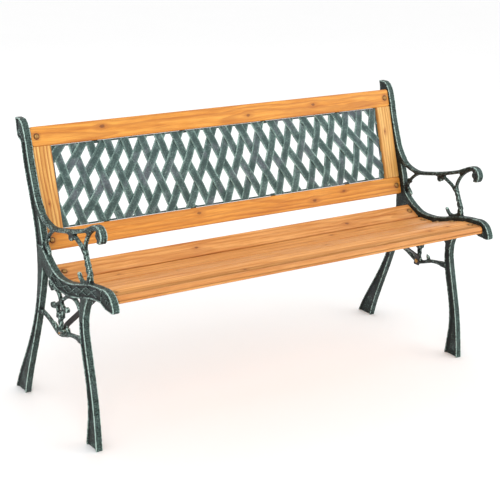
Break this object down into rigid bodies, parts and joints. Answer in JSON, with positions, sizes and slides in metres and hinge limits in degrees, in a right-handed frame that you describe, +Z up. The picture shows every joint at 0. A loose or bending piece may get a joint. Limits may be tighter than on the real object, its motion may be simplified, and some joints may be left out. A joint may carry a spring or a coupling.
{
  "type": "garden bench",
  "caption": "Garden bench with curved cast iron side frames, a slatted wooden seat and a wooden back frame round a cast lattice.",
  "frame": {"origin": "on the ground under the middle of the bench's bounding box", "axes": "+X along the bench to the viewer's right when facing it, +Y from the front edge of the seat to the back, +Z up"},
  "size_m": [1.22, 0.5322, 0.749],
  "materials": {
    "cast_iron_green": "satin",
    "cast_iron_lattice": "satin",
    "varnished_pine": "satin",
    "beech_dowel": "matte",
    "dark_steel": "satin",
    "zinc_fastener": "satin"
  },
  "bodies": {
    "root": {"left_side_frame": "cast_iron_green", "right_side_frame": "cast_iron_green", "seat_slat_1": "varnished_pine", "seat_slat_2": "varnished_pine", "seat_slat_3": "varnished_pine", "seat_slat_4": "varnished_pine", "seat_slat_5": "varnished_pine", "back_top_rail": "varnished_pine", "back_bottom_rail": "varnished_pine", "back_left_stile": "varnished_pine", "back_right_stile": "varnished_pine", "stile_dowels": "beech_dowel", "back_lattice_panel": "cast_iron_lattice", "seat_support_bar": "dark_steel", "seat_centre_strap": "dark_steel", "seat_slat_bolts": "zinc_fastener", "seat_slat_washers": "zinc_fastener", "seat_slat_nuts": "zinc_fastener", "back_rail_bolts": "zinc_fastener", "back_rail_washers": "zinc_fastener", "back_rail_nuts": "zinc_fastener", "support_bar_bolts": "zinc_fastener", "support_bar_washers": "zinc_fastener", "support_bar_nuts": "zinc_fastener", "strap_bolt": "zinc_fastener", "strap_nut": "zinc_fastener", "strap_screws": "zinc_fastener", "lattice_screws": "zinc_fastener"}
  },
  "joints": []
}
